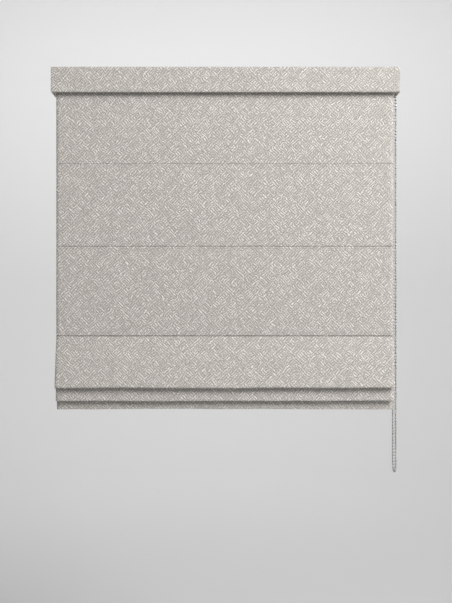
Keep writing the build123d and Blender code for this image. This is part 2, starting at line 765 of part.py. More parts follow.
lever_top = -bracket_thickness - gap
lever_bottom = rail_top + lever_clearance
cam_top = rail_top - rail_wall - gap
cam_length = rail_depth - 2 * rail_lip + 2 * cam_overhang
latch_bore = rivet_radius + running_fit
for side_name, place in (("left", -bracket_spacing / 2), ("right", bracket_spacing / 2)):
    pivot = place - latch_offset
    with BuildPart() as mounting_bracket:
        with BuildSketch(Plane.XY):
            with Locations((place, (bracket_depth[1] - bracket_depth[0]) / 2)):
                RectangleRounded(bracket_length, sum(bracket_depth), bracket_corner)
            with Locations((place, -screw_spacing / 2), (place, screw_spacing / 2)):
                Circle(screw_hole / 2, mode=Mode.SUBTRACT)
        extrude(amount=-bracket_thickness)
        with Locations((pivot, 0, 0)):
            CounterSinkHole(rivet_radius + rivet_seat, rivet_radius + rivet_sink,
                            depth=bracket_thickness)
    save(f"mounting_bracket_{side_name}", mounting_bracket.part)

    with BuildPart() as bracket_latch:
        with BuildSketch(Plane.XY.offset(lever_top)):
            with Locations((pivot, 0)):
                Circle(latch_disc)
            with Locations((pivot, lever_length / 2)):
                RectangleRounded(lever_width, lever_length, lever_corner)
        extrude(amount=lever_bottom - lever_top)
        with BuildSketch(Plane.XY.offset(lever_bottom)):
            with Locations((pivot, 0)):
                Circle(latch_neck)
        extrude(amount=cam_top - lever_bottom)
        with BuildSketch(Plane.XY.offset(cam_top)):
            with Locations((pivot, 0)):
                SlotOverall(cam_length, cam_width, rotation=90)
        extrude(amount=-cam_thickness)
        with BuildSketch(Plane.XY.offset(lever_top)):
            with Locations((pivot, 0)):
                Circle(latch_bore)
        extrude(amount=cam_top - cam_thickness - lever_top, mode=Mode.SUBTRACT)
    save(f"bracket_latch_{side_name}", bracket_latch.part)

    rivet_foot = cam_top - cam_thickness - latch_gap
    with BuildPart() as latch_rivet:
        with BuildSketch(Plane.XY.offset(-rivet_flush)):
            with Locations((pivot, 0)):
                Circle(rivet_radius)
        extrude(amount=rivet_foot + rivet_flush)
        with BuildSketch(Plane.XY.offset(rivet_foot)):
            with Locations((pivot, 0)):
                Circle(rivet_radius + rivet_flange)
        extrude(amount=-rivet_head, taper=20)
    save(f"latch_rivet_{side_name}", latch_rivet.part)

# ---- Bead chain: over the wheel, down both sides and round under its own weight ----

wrap_reach = pitch_radius / cos(radians(wrap_turn / 2))
wrap_side = 2 * pitch_radius * tan(radians(wrap_turn / 2))
joint_height = axis_height - connector_drop
loop_centre = -chain_drop + bead_diameter / 2 + pitch_radius
wrap_angles = [180 - wrap_turn / 2 - wrap_turn * i for i in range(4)]
over = [(drive_line + wrap_reach * cos(radians(a)), axis_height + wrap_reach * sin(radians(a)))
        for a in wrap_angles]
under = [(drive_line + wrap_reach * cos(radians(-a)), loop_centre + wrap_reach * sin(radians(-a)))
         for a in reversed(wrap_angles)]
chain_front = drive_line - pitch_radius
chain_route = ([(chain_front, joint_height + connector_length / 2)] + over + under
               + [(chain_front, joint_height - connector_length / 2)])
wrap_radius = 0.45 * wrap_side / tan(radians(wrap_turn / 2))
chain_radii = [wrap_radius] * 8
print("chain arc radii", [round(r, 2) for r in chain_radii])
with BuildPart() as bead_chain:
    with BuildLine(Plane.YZ.offset(chain_place)) as chain_line:
        FilletPolyline(*chain_route, radius=chain_radii)
    chain_start = Plane((chain_place, *chain_route[0]), x_dir=(1, 0, 0), z_dir=(0, 0, 1))
    with BuildSketch(chain_start):
        Circle(bead_diameter / 2)
    sweep()
bead_chain.part.label = "bead_chain"
export_step(bead_chain.part, "parts/bead_chain.step")
chain_section = pi * bead_diameter**2 / 4
chain_length = sum(edge.length for edge in chain_line.edges())
print(f"chain route {chain_length:.1f} long, volume {bead_chain.part.volume:.0f}, "
      f"section x length {chain_section * chain_length:.0f}")

with BuildPart() as chain_connector:
    with BuildSketch(Plane.XY.offset(joint_height - connector_length / 2)):
        with Locations((chain_place, chain_front)):
            Circle(bead_diameter / 2 + connector_wall)
    extrude(amount=connector_length)
    fillet(chain_connector.edges(), 0.8)
chain_connector.part.label = "chain_connector"
export_step(chain_connector.part, "parts/chain_connector.step")
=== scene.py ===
from bisect import bisect_left
from math import cos, exp, hypot, pi, radians, sin, tan

import bmesh
import bpy
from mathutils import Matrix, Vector, noise


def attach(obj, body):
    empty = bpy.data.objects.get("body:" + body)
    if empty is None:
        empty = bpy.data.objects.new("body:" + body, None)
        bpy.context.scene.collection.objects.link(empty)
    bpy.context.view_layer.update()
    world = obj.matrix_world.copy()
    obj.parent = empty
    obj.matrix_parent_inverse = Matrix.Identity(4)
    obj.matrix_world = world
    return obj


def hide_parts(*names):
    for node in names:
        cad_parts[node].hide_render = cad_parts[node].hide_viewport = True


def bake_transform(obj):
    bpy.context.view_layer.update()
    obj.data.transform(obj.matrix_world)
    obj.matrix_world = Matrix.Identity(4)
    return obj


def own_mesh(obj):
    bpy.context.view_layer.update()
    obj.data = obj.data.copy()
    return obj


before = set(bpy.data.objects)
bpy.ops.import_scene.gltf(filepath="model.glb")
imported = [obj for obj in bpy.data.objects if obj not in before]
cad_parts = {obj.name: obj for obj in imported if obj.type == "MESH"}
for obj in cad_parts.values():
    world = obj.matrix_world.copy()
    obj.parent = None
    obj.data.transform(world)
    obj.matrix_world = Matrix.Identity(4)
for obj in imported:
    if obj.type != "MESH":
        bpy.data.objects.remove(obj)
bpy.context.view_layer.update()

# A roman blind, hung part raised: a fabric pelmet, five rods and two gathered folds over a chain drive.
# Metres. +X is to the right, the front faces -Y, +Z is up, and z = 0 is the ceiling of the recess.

# ---- View ----
# The blind hangs in a window recess and is seen square on from the room, through a normal lens, level
# with the middle of the whole drop from the ceiling of the recess to the foot of the chain.
room_view = bpy.data.cameras.new("room_view")
room_view.lens = 50.0
room_view.sensor_width = 36.0
camera = bpy.data.objects.new("room_view", room_view)
bpy.context.scene.collection.objects.link(camera)
bpy.context.scene.camera = camera
camera.location = (0.001, -1.642, -0.454)
camera.rotation_euler = (pi / 2, 0, 0)


# ---- Bead chain ----
# The endless pull chain: hollow nickel-plated balls crimped on a wire at a 6 mm pitch. It runs over
# the wheel in the housing, hangs down both sides and is closed by a snap connector on the room side.
def math_node(tree, operation, first, second=None):
    """One Math node. Each input is a number or another node's output."""
    node = tree.nodes.new("ShaderNodeMath")
    node.operation = operation
    for socket, value in zip(node.inputs, (first, second)):
        if isinstance(value, bpy.types.NodeSocket):
            tree.links.new(value, socket)
        elif value is not None:
            socket.default_value = value
    return node.outputs[0]


def add_node(tree, kind, values=None, **settings):
    """One node of a kind, with settings, and with its inputs given as values or as outputs to join."""
    node = tree.nodes.new("ShaderNode" + kind)
    for name, value in settings.items():
        setattr(node, name, value)
    for name, value in (values or {}).items():
        if isinstance(value, bpy.types.NodeSocket):
            tree.links.new(value, node.inputs[name])
        else:
            node.inputs[name].default_value = value
    return node


def times(tree, first, second):
    """One value multiplied by another."""
    return math_node(tree, "MULTIPLY", first, second)


def plus(tree, first, second):
    """The sum of two values."""
    return math_node(tree, "ADD", first, second)


def minus(tree, first, second):
    """The first value less the second."""
    return math_node(tree, "SUBTRACT", first, second)


def mix_colours(tree, share, first, second):
    """One Mix node for colours; each input is a colour, a number or an output."""
    node = tree.nodes.new("ShaderNodeMix")
    node.data_type = "RGBA"
    for index, value in ((0, share), (6, first), (7, second)):
        if isinstance(value, bpy.types.NodeSocket):
            tree.links.new(value, node.inputs[index])
        else:
            node.inputs[index].default_value = value
    return node.outputs[2]


def noise_value(tree, vector, scale, detail=2.0):
    """The value of one Noise node."""
    node = add_node(tree, "TexNoise", {"Vector": vector, "Scale": scale, "Detail": detail})
    return node.outputs["Fac"]


def start_group(name, inputs, outputs):
    """A shader node group with named inputs, each with its starting value, and named outputs."""
    tree = bpy.data.node_groups.new(name, "ShaderNodeTree")
    for label, kind, value in inputs:
        socket = tree.interface.new_socket(label, in_out="INPUT", socket_type="NodeSocket" + kind)
        if value is not None:
            socket.default_value = value
    for label, kind in outputs:
        tree.interface.new_socket(label, in_out="OUTPUT", socket_type="NodeSocket" + kind)
    return tree, tree.nodes.new("NodeGroupInput").outputs, tree.nodes.new("NodeGroupOutput").inputs


def start_material(name, values):
    """A material with one Principled shader, and that shader's plain values."""
    material = bpy.data.materials.new(name)
    material.use_nodes = True
    shader = material.node_tree.nodes["Principled BSDF"]
    for socket, value in values.items():
        shader.inputs[socket].default_value = value
    return material, material.node_tree, shader


def link_look(tree, shader, look, strength, distance, colour=None):
    """Joins a group's colour, gloss and relief to a shader. A colour given here goes in place of its own."""
    tree.links.new(colour or look.outputs["Color"], shader.inputs["Base Color"])
    if "Roughness" in look.outputs:
        tree.links.new(look.outputs["Roughness"], shader.inputs["Roughness"])
    relief = add_node(tree, "Bump", {"Height": look.outputs["Height"], "Strength": strength,
                                     "Distance": distance})
    tree.links.new(relief.outputs[0], shader.inputs["Normal"])


def build_worn_surface():
    """Uneven tone, handling marks and fine scratches on a hard finish."""
    tree, given, made = start_group(
        "worn_surface",
        [("Vector", "Vector", None), ("Finish", "Color", (0.8, 0.8, 0.8, 1)),
         ("Dulled", "Color", (0.6, 0.6, 0.6, 1)), ("Scale", "Float", 60.0), ("Drawn", "Float", 1.0),
         ("Smooth", "Float", 0.25), ("Rough", "Float", 0.45)],
        [("Color", "Color"), ("Roughness", "Float"), ("Height", "Float")])
    blotch = add_node(tree, "TexNoise", {"Vector": given["Vector"], "Scale": given["Scale"],
                                         "Detail": 4.0, "Roughness": 0.6})
    stretch = add_node(tree, "CombineXYZ", {"X": given["Drawn"], "Y": 1.0, "Z": 1.0})
    drawn = add_node(tree, "VectorMath", {0: given["Vector"], 1: stretch.outputs[0]},
                     operation="MULTIPLY")
    grain = noise_value(tree, drawn.outputs[0], times(tree, given["Scale"], 18.0))
    marks = add_node(tree, "MapRange", {"Value": blotch.outputs["Fac"], "From Min": 0.42,
                                        "From Max": 0.72})
    tone = times(tree, marks.outputs[0], 0.5)
    tone = plus(tree, tone, times(tree, grain, 0.22))
    tree.links.new(mix_colours(tree, tone, given["Finish"], given["Dulled"]), made["Color"])
    rough = add_node(tree, "MapRange", {"Value": plus(tree, times(tree, blotch.outputs["Fac"], 0.6),
                                                      times(tree, grain, 0.4)),
                                        "From Min": 0.3, "From Max": 0.7, "To Min": given["Smooth"],
                                        "To Max": given["Rough"]})
    tree.links.new(rough.outputs[0], made["Roughness"])
    tree.links.new(grain, made["Height"])
    return tree


worn_surface = build_worn_surface()


def hard_material(name, finish, dulled, values, scale=60.0, drawn=1.0, smooth=0.25, rough=0.45,
                  bump=0.00002):
    """A moulded, plated or drawn finish whose colour, gloss and relief come from worn_surface."""
    material, tree, shader = start_material(name, values)
    wear = add_node(tree, "Group", node_tree=worn_surface, values={
        "Vector": add_node(tree, "TexCoord").outputs["Object"], "Finish": (*finish, 1),
        "Dulled": (*dulled, 1), "Scale": scale, "Drawn": drawn, "Smooth": smooth, "Rough": rough})
    link_look(tree, shader, wear, 0.6, bump)
    return material


def finish_nodes(material, slot, *names):
    """Gives carried-over parts their material."""
    for name in names:
        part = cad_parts[name]
        if not part.data.materials:
            part.data.materials.append(material)
        for place in part.material_slots:
            place.material = material


def add_piece(name, mesh, material):
    """Puts a mesh in the scene as a piece with its material."""
    piece = bpy.data.objects.new(name, mesh)
    bpy.context.scene.collection.objects.link(piece)
    mesh.materials.append(material)
    mesh.polygons.foreach_set("use_smooth", [True] * len(mesh.polygons))
    return piece


def ring_of(shape, centre, one, other, radius, sides):
    """A ring of vertices round a centre, in the plane of two directions."""
    turns = [2 * pi * k / sides for k in range(sides)]
    return [shape.verts.new(centre + (one * cos(a) + other * sin(a)) * radius) for a in turns]


def join_rings(shape, rings, closed=False):
    """Walls from ring to ring. Closed rings make a loop; otherwise they make a tube with its ends shut."""
    for lower, upper in zip(rings, rings[1:] + (rings[:1] if closed else [])):
        for k in range(len(lower)):
            after = (k + 1) % len(lower)
            shape.faces.new((lower[k], lower[after], upper[after], upper[k]))
    if not closed:
        shape.faces.new(rings[-1])
        shape.faces.new(list(reversed(rings[0])))


def finish_shape(name, shape, material):
    """Turns a worked shape's faces outward and puts it in the scene as a piece."""
    bmesh.ops.recalc_face_normals(shape, faces=shape.faces)
    mesh = bpy.data.meshes.new(name)
    shape.to_mesh(mesh)
    return add_piece(name, mesh, material)


bead_diameter, bead_pitch, wire_radius = 0.0045, 0.006, 0.00055
chain_x, chain_pitch_radius = 0.3307, 0.01348
wheel_height, loop_height = -0.020, -0.77327
chain_straight = 0.027  # straight run next to the wheel and the loop
wrap_reach = chain_pitch_radius / cos(radians(22.5))
connector_top, connector_foot = -0.0385, -0.0495  # the chain starts above the connector and ends below it


def wrap(height, turns):
    """Corners of the octagon that leads the chain round the wheel or round the foot of its loop."""
    return [(wrap_reach * cos(radians(turn)), height + wrap_reach * sin(radians(turn))) for turn in turns]


chain_route = [(-chain_pitch_radius, connector_top), *wrap(wheel_height, (157.5, 112.5, 67.5, 22.5)),
               (chain_pitch_radius, wheel_height - chain_straight),
               (chain_pitch_radius, loop_height + chain_straight),
               *wrap(loop_height, (-22.5, -67.5, -112.5, -157.5)),
               (-chain_pitch_radius, loop_height + chain_straight), (-chain_pitch_radius, connector_foot)]


def read_route(name, points):
    """The points of a smooth NURBS line through a route, read back from a curve object."""
    curve = bpy.data.curves.new(name, "CURVE")
    curve.dimensions = "3D"
    curve.resolution_u = 24
    line = curve.splines.new("NURBS")
    line.points.add(len(points) - 1)
    for point, place in zip(line.points, points):
        point.co = (*place, 1)
    line.order_u = 3
    line.use_endpoint_u = True
    holder = bpy.data.objects.new(name, curve)
    bpy.context.scene.collection.objects.link(holder)
    bpy.context.view_layer.update()
    mesh = bpy.data.meshes.new_from_object(holder)
    read = [vertex.co.copy() for vertex in mesh.vertices]
    bpy.data.objects.remove(holder)
    return read


class Run:
    """A line of points that can be asked for the place and direction at a distance along it."""

    def __init__(self, points):
        self.points = points
        self.marks = [0.0]
        for one, other in zip(points, points[1:]):
            self.marks.append(self.marks[-1] + (other - one).length)
        self.length = self.marks[-1]

    def at(self, distance):
        i = min(max(bisect_left(self.marks, distance), 1), len(self.points) - 1)
        one, other = self.points[i - 1], self.points[i]
        share = (distance - self.marks[i - 1]) / max(self.marks[i] - self.marks[i - 1], 1e-9)
        return one.lerp(other, min(max(share, 0), 1)), (other - one).normalized()


chain_run = Run(read_route("chain_route", [(chain_x, y, z) for y, z in chain_route]))
nickel = hard_material("nickel_plate", (0.5, 0.49, 0.48), (0.22, 0.21, 0.2), {"Metallic": 1.0},
                       scale=140, smooth=0.12, rough=0.3)
top_mark = max(range(len(chain_run.points)), key=lambda i: chain_run.points[i].z)
first_bead = (chain_run.marks[top_mark] - bead_pitch / 2) % bead_pitch
if first_bead < bead_diameter / 2:
    first_bead += bead_pitch
chain_shape = bmesh.new()
sideways = Vector((1, 0, 0))
bead_belts, bead_sides, wire_sides = 7, 12, 6
bead_marks = []
mark = first_bead
while mark < chain_run.length - bead_diameter / 2:
    place, along = chain_run.at(mark)
    rings = []
    for belt in range(bead_belts):
        lean = pi * (belt + 0.5) / bead_belts - pi / 2
        # A ball is two pressed halves, so its middle carries a faint seam
        seam = 0.985 if belt == bead_belts // 2 else 1.0
        rings.append(ring_of(chain_shape, place + along * (bead_diameter / 2 * sin(lean)), sideways,
                             along.cross(sideways), bead_diameter / 2 * cos(lean) * seam, bead_sides))
    join_rings(chain_shape, rings)
    bead_marks.append(mark)
    mark += bead_pitch
wire_marks = [0.0] + bead_marks + [chain_run.length]
for start, end in zip(wire_marks, wire_marks[1:]):
    rings = []
    for mark in (start, (start + end) / 2, end):
        place, along = chain_run.at(mark)
        rings.append(ring_of(chain_shape, place, sideways, along.cross(sideways), wire_radius, wire_sides))
    join_rings(chain_shape, rings)
pull_chain = finish_shape("pull_chain", chain_shape, nickel)
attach(pull_chain, "root")
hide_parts("bead_chain")
snap_plastic = hard_material("snap_connector", (0.8, 0.81, 0.82), (0.62, 0.63, 0.64),
                             {"Transmission Weight": 0.55, "IOR": 1.49}, scale=90, smooth=0.1, rough=0.3)
finish_nodes(snap_plastic, "clear_plastic", "chain_connector")

# ---- Headrail and its fittings ----
# An extruded aluminium channel with a white satin coat. Moulded plugs close its ends, and three open
# cradles pressed into it carry the spools.
rail_coat = hard_material("rail_coat", (0.8, 0.8, 0.79), (0.68, 0.68, 0.66),
                          {"Coat Weight": 0.15, "Coat Roughness": 0.25}, scale=35, drawn=0.04,
                          smooth=0.32, rough=0.5, bump=0.00003)
finish_nodes(rail_coat, "anodised_rail", "headrail")
moulded_white = hard_material("moulded_white", (0.82, 0.82, 0.8), (0.7, 0.69, 0.66), {},
                              scale=110, smooth=0.36, rough=0.55, bump=0.00004)
finish_nodes(moulded_white, "white_plastic", "end_cap_left", "clutch_housing", "cord_cradle_1",
             "cord_cradle_2", "cord_cradle_3", "shaft_adapter", "shaft_bush", "cord_spool_1",
             "cord_spool_2", "cord_spool_3", "cord_locks", "bar_cap_left", "bar_cap_right",
             *[f"rod_tips_{number}" for number in range(1, 6)])

# ---- Drive ----
# The moulded bead wheel turns a square steel shaft through a wrap spring, which grips the housing and
# holds the blind wherever the chain is let go.
wheel_plastic = hard_material("wheel_plastic", (0.79, 0.79, 0.77), (0.6, 0.59, 0.56), {},
                              scale=160, smooth=0.3, rough=0.5, bump=0.00004)
finish_nodes(wheel_plastic, "white_plastic", "chain_wheel")
spring_steel = hard_material("oiled_spring_steel", (0.42, 0.42, 0.43), (0.2, 0.19, 0.18),
                             {"Metallic": 1.0}, scale=200, drawn=0.3, smooth=0.22, rough=0.45)
finish_nodes(spring_steel, "spring_steel", "brake_spring", "drive_shaft")

# ---- Mounting brackets ----
# Pressed plates with a zinc coat are screwed up into the ceiling. A swivelling latch under each, held
# by a rivet, turns across the channel's lips.
zinc_plate = hard_material("zinc_plate", (0.66, 0.67, 0.68), (0.45, 0.46, 0.47), {"Metallic": 1.0},
                           scale=120, drawn=0.4, smooth=0.28, rough=0.5, bump=0.00003)
finish_nodes(zinc_plate, "zinc_steel", "mounting_bracket_left", "mounting_bracket_right",
             "latch_rivet_left", "latch_rivet_right", "pelmet_clips", "clip_screws",
             "bracket_latch_left", "bracket_latch_right")

# ---- Pelmet boards ----
# A thin sanded fibre board makes the pelmet's face, and a folded return closes each end. The cloth
# is stretched over them and turned in behind.


def build_board_fibres():
    """Short pressed fibres of a hardboard, in two tones."""
    tree, given, made = start_group(
        "board_fibres",
        [("Vector", "Vector", None), ("Light", "Color", (0.66, 0.61, 0.53, 1)),
         ("Dark", "Color", (0.45, 0.40, 0.33, 1)), ("Fibre", "Float", 900.0)],
        [("Color", "Color"), ("Height", "Float")])
    flow = add_node(tree, "Mapping", {"Vector": given["Vector"], "Scale": (0.25, 1.0, 1.0)})
    fibres = noise_value(tree, flow.outputs[0], given["Fibre"], 3.0)
    tone = times(tree, times(tree, fibres, noise_value(tree, given["Vector"], 70.0)), 2.6)
    tree.links.new(mix_colours(tree, tone, given["Dark"], given["Light"]), made["Color"])
    tree.links.new(fibres, made["Height"])
    return tree


board_fibres = build_board_fibres()
hardboard, tree, shader = start_material("sanded_hardboard", {"Roughness": 0.75})
fibres = add_node(tree, "Group", {"Vector": add_node(tree, "TexCoord").outputs["Object"]},
                  node_tree=board_fibres)
link_look(tree, shader, fibres, 1.0, 0.00005)
finish_nodes(hardboard, "raw_board", "pelmet_board", "pelmet_return_left", "pelmet_return_right")


# ---- Pelmet cloth ----
# The same jacquard as the blind, cut in one strip. It is drawn round the board and the returns,
# folded over their edges and glued behind.
def lay_floats(tree, vector, square, floats, repeat, seed):
    """Floats laid side by side in squares that turn either way at random: where they are, and how bright."""
    turned = add_node(tree, "VectorRotate", {"Vector": vector, "Angle": pi / 4}, rotation_type="Z_AXIS")
    places = add_node(tree, "SeparateXYZ", {0: turned.outputs[0]}).outputs
    cells, inside = [], []
    for axis in (0, 1):
        scaled = math_node(tree, "DIVIDE", places[axis], square)
        inside.append(math_node(tree, "FRACT", scaled))
        cells.append(math_node(tree, "FLOORED_MODULO", math_node(tree, "FLOOR", scaled), repeat))
    cell = add_node(tree, "CombineXYZ", {0: cells[0], 1: cells[1], 2: seed})
    chance = add_node(tree, "TexWhiteNoise", {"Vector": cell.outputs[0]}, noise_dimensions="3D")
    turn = math_node(tree, "GREATER_THAN", chance.outputs["Value"], 0.5)
    stay = minus(tree, 1.0, turn)
    across = plus(tree, times(tree, turn, inside[0]), times(tree, stay, inside[1]))
    along = plus(tree, times(tree, turn, inside[1]), times(tree, stay, inside[0]))
    stacked = times(tree, across, floats)
    order = plus(tree, math_node(tree, "FLOOR", stacked), seed + 0.5)
    edges = []
    for share in (math_node(tree, "FRACT", stacked), along):
        centred = minus(tree, times(tree, share, 2.0), 1.0)
        edges.append(minus(tree, 1.0, math_node(tree, "ABSOLUTE", centred)))
    body, tips = [add_node(tree, "MapRange", {"Value": edge, "From Min": low, "From Max": high},
                           interpolation_type="SMOOTHSTEP").outputs[0]
                  for edge, low, high in zip(edges, (0.12, 0.0), (0.8, 0.16))]
    mask = times(tree, body, tips)
    number = add_node(tree, "CombineXYZ", {0: cells[0], 1: cells[1], 2: order})
    own = add_node(tree, "TexWhiteNoise", {"Vector": number.outputs[0]}, noise_dimensions="3D")
    lift = plus(tree, 0.45, times(tree, own.outputs["Value"], 0.55))
    return times(tree, mask, lift)


def build_parquet_weave():
    """Jacquard cloth: short flat floats of pale yarn, laid in small squares that turn either way."""
    tree, given, made = start_group(
        "parquet_weave",
        [("Vector", "Vector", None), ("Ground", "Color", (0.3, 0.28, 0.25, 1)),
         ("Float Yarn", "Color", (0.6, 0.57, 0.53, 1)), ("Square", "Float", 0.0089),
         ("Floats", "Float", 2.0), ("Repeat", "Float", 9.0), ("Wander", "Float", 0.0052),
         ("Contrast", "Float", 1.0)],
        [("Color", "Color"), ("Height", "Float"), ("Roughness", "Float")])
    drift = add_node(tree, "TexNoise", {"Vector": given["Vector"], "Scale": 110.0, "Detail": 1.0})
    drift = add_node(tree, "VectorMath", {0: drift.outputs["Color"], 1: (0.5, 0.5, 0.5)},
                     operation="SUBTRACT")
    drift_by = add_node(tree, "VectorMath", {0: drift.outputs[0], "Scale": given["Wander"]},
                        operation="SCALE")
    moved = add_node(tree, "VectorMath", {0: given["Vector"], 1: drift_by.outputs[0]},
                     operation="ADD").outputs[0]
    small = lay_floats(tree, moved, given["Square"], given["Floats"], given["Repeat"], 0.0)
    wide = times(tree, given["Square"], 4 / 3)
    more = plus(tree, given["Floats"], 1.0)
    large = lay_floats(tree, moved, wide, more, given["Repeat"], 40.0)
    patch = add_node(tree, "TexVoronoi", {"Vector": given["Vector"], "Scale": 48.0}, distance="CHEBYCHEV")
    which = math_node(tree, "GREATER_THAN", add_node(tree, "SeparateXYZ",
                                                     {0: patch.outputs["Color"]}).outputs[0], 0.55)
    floats = plus(tree, times(tree, which, large), times(tree, minus(tree, 1.0, which), small))
    fine, coarse = [minus(tree, noise_value(tree, given["Vector"], scale), 0.5) for scale in (1400.0, 560.0)]
    worn = noise_value(tree, given["Vector"], 300.0, 1.0)
    shown = add_node(tree, "MapRange", {"Value": worn, "From Min": 0.34, "From Max": 0.54,
                                        "To Min": 0.45, "To Max": 1.0})
    floats = times(tree, floats, shown.outputs[0])
    share = times(tree, floats, given["Contrast"])
    share = plus(tree, share, times(tree, fine, 0.5))
    share = plus(tree, share, times(tree, coarse, 2.1))
    clamped = add_node(tree, "Clamp", {"Value": share})
    tree.links.new(mix_colours(tree, clamped.outputs[0], given["Ground"], given["Float Yarn"]),
                   made["Color"])
    tree.links.new(plus(tree, floats, times(tree, fine, 0.35)), made["Height"])
    tree.links.new(minus(tree, 0.9, times(tree, floats, 0.14)), made["Roughness"])
    return tree


parquet_weave = build_parquet_weave()
greige_ground, greige_float = (0.3, 0.283, 0.262, 1), (0.755, 0.722, 0.69, 1)


def jacquard(name, seam_shade=False):
    """The greige cloth. On request it carries painted shade: a dark line where a row of stitches draws it in.
    """
    material, tree, shader = start_material(name, {"Sheen Weight": 0.25, "Sheen Roughness": 0.5,
                                                   "Specular IOR Level": 0.25})
    place = add_node(tree, "UVMap", uv_map="cut").outputs[0]
    weave = add_node(tree, "Group", {"Vector": place, "Ground": greige_ground, "Float Yarn": greige_float},
                     node_tree=parquet_weave)
    colour = weave.outputs["Color"]
    if seam_shade:
        # Painted shade: a near-black line mixed into the weave along each row of stitches
        painted_seam_shade = add_node(tree, "Attribute", attribute_name="painted_seam_shade").outputs["Fac"]
        colour = mix_colours(tree, painted_seam_shade, colour, (0.10, 0.092, 0.083, 1))
    link_look(tree, shader, weave, 0.6, 0.0004, colour)
    return material


def cloth_mesh(name, rows, uvs, painted_seam_shade=None):
    """A grid of cloth: rows of points, each with its place on the flat cut cloth and, if given, its painted
    shade.
    """
    width = len(rows[0])
    points = [point for row in rows for point in row]
    faces = [(i * width + k, i * width + k + 1, (i + 1) * width + k + 1, (i + 1) * width + k)
             for i in range(len(rows) - 1) for k in range(width - 1)]
    mesh = bpy.data.meshes.new(name)
    mesh.from_pydata(points, [], faces)
    flat = [place for row in uvs for place in row]
    layer = mesh.uv_layers.new(name="cut")
    for loop in mesh.loops:
        layer.data[loop.index].uv = flat[loop.vertex_index]
    if painted_seam_shade is not None:
        attribute = mesh.attributes.new("painted_seam_shade", "FLOAT", "POINT")
        attribute.data.foreach_set("value", [value for row in painted_seam_shade for value in row])
    return mesh


def give_thickness(piece, thickness):
    """Turns a surface into cloth of a real thickness, half to each side."""
    solid = piece.modifiers.new("cloth_thickness", "SOLIDIFY")
    solid.thickness = thickness
    solid.offset = 0.0


cloth_thickness = 0.0007
board_back = -0.0233
pelmet_x, pelmet_y = 0.33665, -0.02665  # middle of the cloth at the ends and at the front
return_x, return_end = 0.3345, 0.02265
pelmet_top, pelmet_foot = -0.00135, -0.04965
corner = 0.0006
front_steps, end_steps, rise_steps = 96, 8, 14
edge_depth, edge_round = 0.0033, 0.0006  # how far the cloth runs back over an edge, and its rounding
strip_middle, slack_depth = 0.386, 0.00012
plan = [(-return_x, return_end), (-pelmet_x, return_end)]
plan += [(-pelmet_x, return_end + (pelmet_y + corner - return_end) * i / end_steps)
         for i in range(1, end_steps + 1)]
plan += [(-pelmet_x + corner - corner * cos(radians(a)), pelmet_y + corner - corner * sin(radians(a)))
         for a in (30, 60)]
plan += [(-pelmet_x + corner + 2 * (pelmet_x - corner) * i / front_steps, pelmet_y)
         for i in range(front_steps + 1)]
plan += [(-x, y) for x, y in reversed(plan[:end_steps + 4])]
pelmet_rows, pelmet_uvs = [], []
profile = [(1.0, pelmet_top), (0.25, pelmet_top), (0.07, pelmet_top - 0.0001), (0.0, pelmet_top - edge_round)]
profile += [(0.0, pelmet_top - edge_round - (pelmet_top - pelmet_foot - 2 * edge_round) * i / rise_steps)
            for i in range(1, rise_steps + 1)]
profile += [(0.07, pelmet_foot + 0.0001), (0.25, pelmet_foot), (1.0, pelmet_foot)]
reach_mark = 0.0
for (inward, height), before in zip(profile, [profile[0]] + profile[:-1]):
    reach_mark += hypot((inward - before[0]) * edge_depth, height - before[1])
    row, flat, along_mark = [], [], 0.0
    for (x, y), (x0, y0) in zip(plan, [plan[0]] + plan[:-1]):
        along_mark += hypot(x - x0, y - y0)
        inner_x, inner_y = min(max(x, -return_x), return_x), max(y, board_back)
        slack = noise.noise(Vector((x * 9, y * 9, height * 22))) * slack_depth
        row.append((x + (inner_x - x) * inward, y + (inner_y - y) * inward - slack * (1 - inward), height))
        flat.append((along_mark - strip_middle, 1.0 - reach_mark))
    pelmet_rows.append(row)
    pelmet_uvs.append(flat)
mesh = cloth_mesh("pelmet_cloth", pelmet_rows, pelmet_uvs)
turned = bmesh.new()
turned.from_mesh(mesh)
bmesh.ops.remove_doubles(turned, verts=turned.verts, dist=1e-6)
bmesh.ops.dissolve_degenerate(turned, edges=turned.edges, dist=1e-6)
bmesh.ops.recalc_face_normals(turned, faces=turned.faces)
turned.to_mesh(mesh)
pelmet_jacquard = jacquard("pelmet_jacquard")
pelmet_cloth = add_piece("pelmet_cloth", mesh, pelmet_jacquard)
give_thickness(pelmet_cloth, cloth_thickness)
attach(pelmet_cloth, "root")
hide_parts("pelmet_fabric")

# ---- Pelmet turnings ----
# The long edges of the same strip, turned down 10 mm behind the board and glued flat.
turning_half, turning_y, turning_depth = 0.322, -0.02295, 0.0103
turning_columns, turning_rows, fray_depth = 80, 4, 0.0006
for name, start, end in (("pelmet_turning_top", pelmet_top, pelmet_top - turning_depth),
                         ("pelmet_turning_foot", pelmet_foot, pelmet_foot + turning_depth)):
    rows, flats = [], []
    across = [turning_half * (2 * k / turning_columns - 1) for k in range(turning_columns + 1)]
    for i in range(turning_rows + 1):
        height = start + (end - start) * i / turning_rows
        fray = [noise.noise(Vector((k * 0.9, i, start * 100))) * fray_depth * (i == turning_rows)
                for k in range(turning_columns + 1)]
        rows.append([(x, turning_y, height + frayed) for x, frayed in zip(across, fray)])
        flats.append([(x, height) for x in across])
    turning = add_piece(name, cloth_mesh(name, rows, flats), pelmet_jacquard)
    give_thickness(turning, cloth_thickness * 0.9)
    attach(turning, "root")
